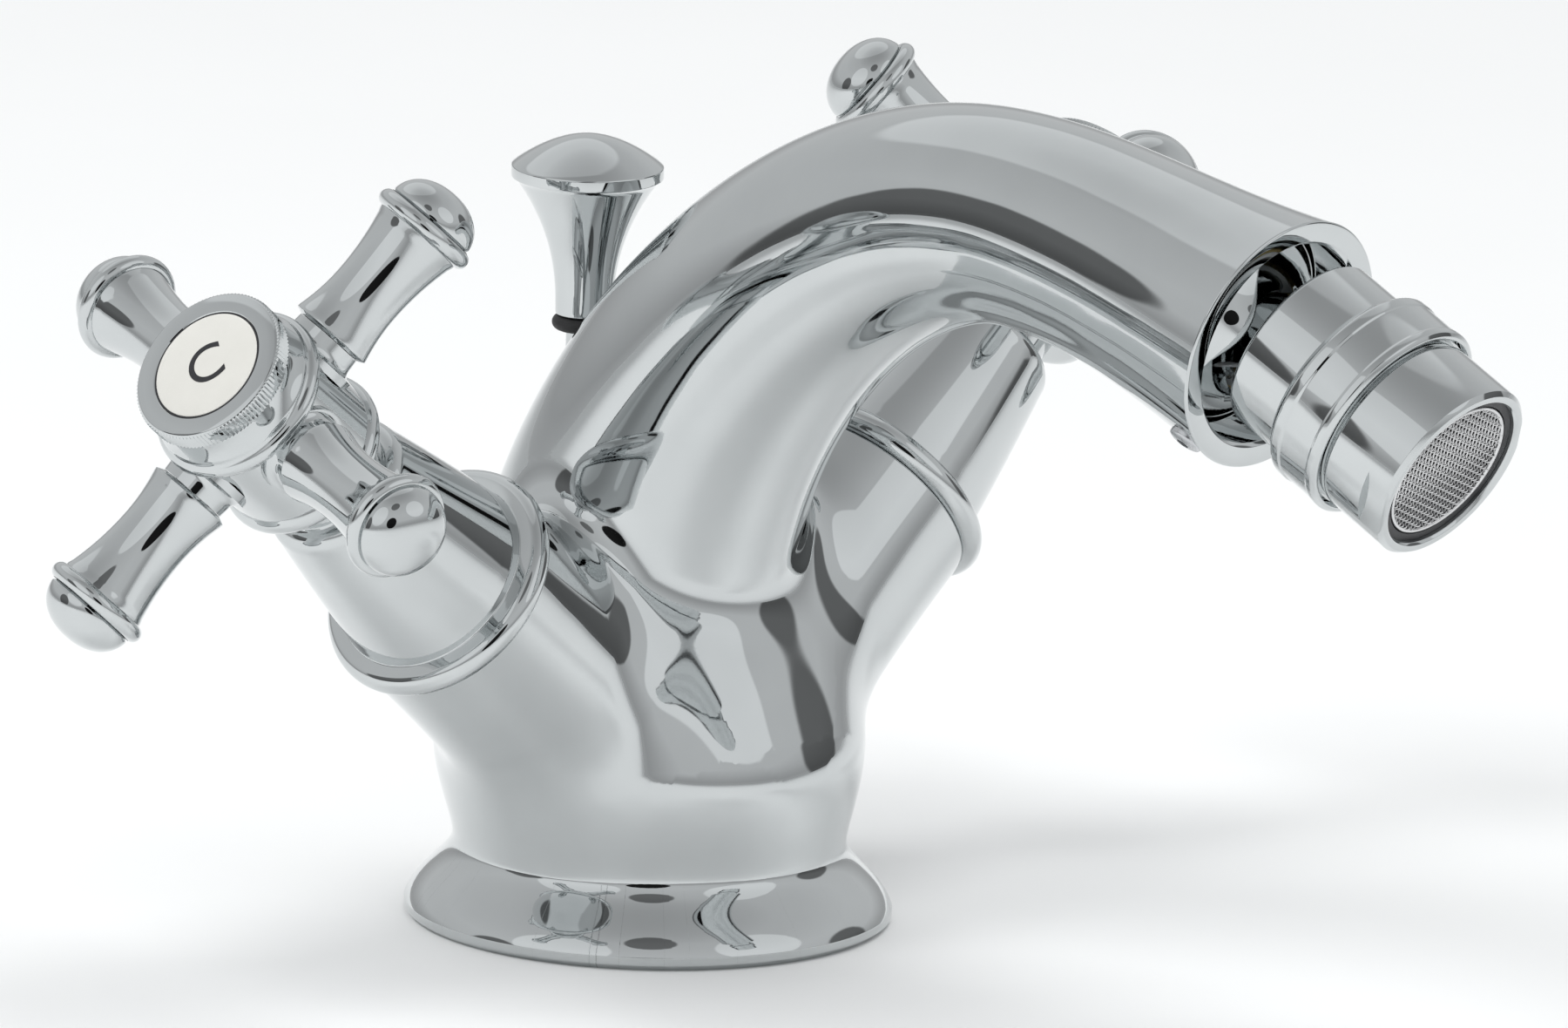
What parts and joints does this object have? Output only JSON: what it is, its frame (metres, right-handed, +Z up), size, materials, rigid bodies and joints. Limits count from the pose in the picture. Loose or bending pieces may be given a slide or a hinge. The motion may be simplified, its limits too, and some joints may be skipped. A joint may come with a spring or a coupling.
{
  "type": "bathroom mixer faucet",
  "caption": "One-hole bidet mixer in chrome with an arched spout, a swivelling ball-joint aerator, inclined cross handles and a pull-up waste knob behind the spout.",
  "frame": {"origin": "middle of the base's underside, where it stands on the deck", "axes": "+Z up; the spout points along -Y; the cold handle is on the -X side, the hot handle on the +X side, and the lift rod is behind at +Y"},
  "size_m": [0.176, 0.1562, 0.1032],
  "materials": {
    "chrome": "polished chrome plate on brass",
    "brass": "turned",
    "steel": "bright stainless",
    "steel_mesh": "woven stainless wire",
    "black_rubber": "matte",
    "alumina": "lapped alumina ceramic",
    "index_ceramic": "glazed cream porcelain",
    "white_plastic": "acetal",
    "dark_plastic": "moulded"
  },
  "bodies": {
    "root": {"body": "chrome", "base_gasket": "black_rubber", "lock_screw": "steel", "cold_valve_body": "brass", "cold_fixed_disc": "alumina", "cold_seat_seal": "black_rubber", "cold_valve_o_ring": "black_rubber", "cold_bonnet": "chrome", "hot_valve_body": "brass", "hot_fixed_disc": "alumina", "hot_seat_seal": "black_rubber", "hot_valve_o_ring": "black_rubber", "hot_bonnet": "chrome", "ball_fitting": "chrome", "fitting_gasket": "black_rubber", "rod_bush": "white_plastic"},
    "cold_handle": {"cold_spindle": "brass", "cold_spindle_o_rings": "black_rubber", "cold_spindle_clip": "steel", "cold_moving_disc": "alumina", "cold_handle_hub": "chrome", "cold_handle_arms": "chrome", "cold_handle_tips": "chrome", "cold_cap_ring": "chrome", "cold_index_disc": "index_ceramic", "cold_handle_screw": "steel"},
    "hot_handle": {"hot_spindle": "brass", "hot_spindle_o_rings": "black_rubber", "hot_spindle_clip": "steel", "hot_moving_disc": "alumina", "hot_handle_hub": "chrome", "hot_handle_arms": "chrome", "hot_handle_tips": "chrome", "hot_cap_ring": "chrome", "hot_index_disc": "index_ceramic", "hot_handle_screw": "steel"},
    "aerator_pitch_ring": {"ball_seat": "white_plastic"},
    "aerator_yaw_ring": {"seat_carrier": "brass"},
    "aerator": {"swivel_collar": "chrome", "aerator_housing": "chrome", "aerator_sleeve": "chrome", "aerator_insert": "dark_plastic", "aerator_mesh": "steel_mesh", "aerator_gasket": "black_rubber"},
    "lift_rod": {"lift_knob": "chrome", "lift_rod": "chrome", "rod_washer": "black_rubber"}
  },
  "joints": [
    {"name": "cold_turn", "type": "hinge", "parent": "root", "child": "cold_handle", "pos_m": [0, 0, 0.0155], "axis": [-0.7826, 0, 0.6225], "range_deg": [-90, 0]},
    {"name": "hot_turn", "type": "hinge", "parent": "root", "child": "hot_handle", "pos_m": [0, 0, 0.0155], "axis": [0.7826, 0, 0.6225], "range_deg": [0, 90]},
    {"name": "aerator_pitch", "type": "hinge", "parent": "root", "child": "aerator_pitch_ring", "pos_m": [0, -0.10332, 0.08098], "axis": [1, 0, 0], "range_deg": [-25, 0]},
    {"name": "aerator_yaw", "type": "hinge", "parent": "aerator_pitch_ring", "child": "aerator_yaw_ring", "pos_m": [0, -0.10332, 0.08098], "axis": [0, -0.2419, 0.9703], "range_deg": [-15.5, 8.5]},
    {"name": "aerator_spin", "type": "hinge", "parent": "aerator_yaw_ring", "child": "aerator", "pos_m": [0, -0.10332, 0.08098], "axis": [0.0544, -0.8893, -0.454], "continuous": true},
    {"name": "rod_lift", "type": "slide", "parent": "root", "child": "lift_rod", "axis": [0, 0, 1], "range_m": [0, 0.012]}
  ]
}
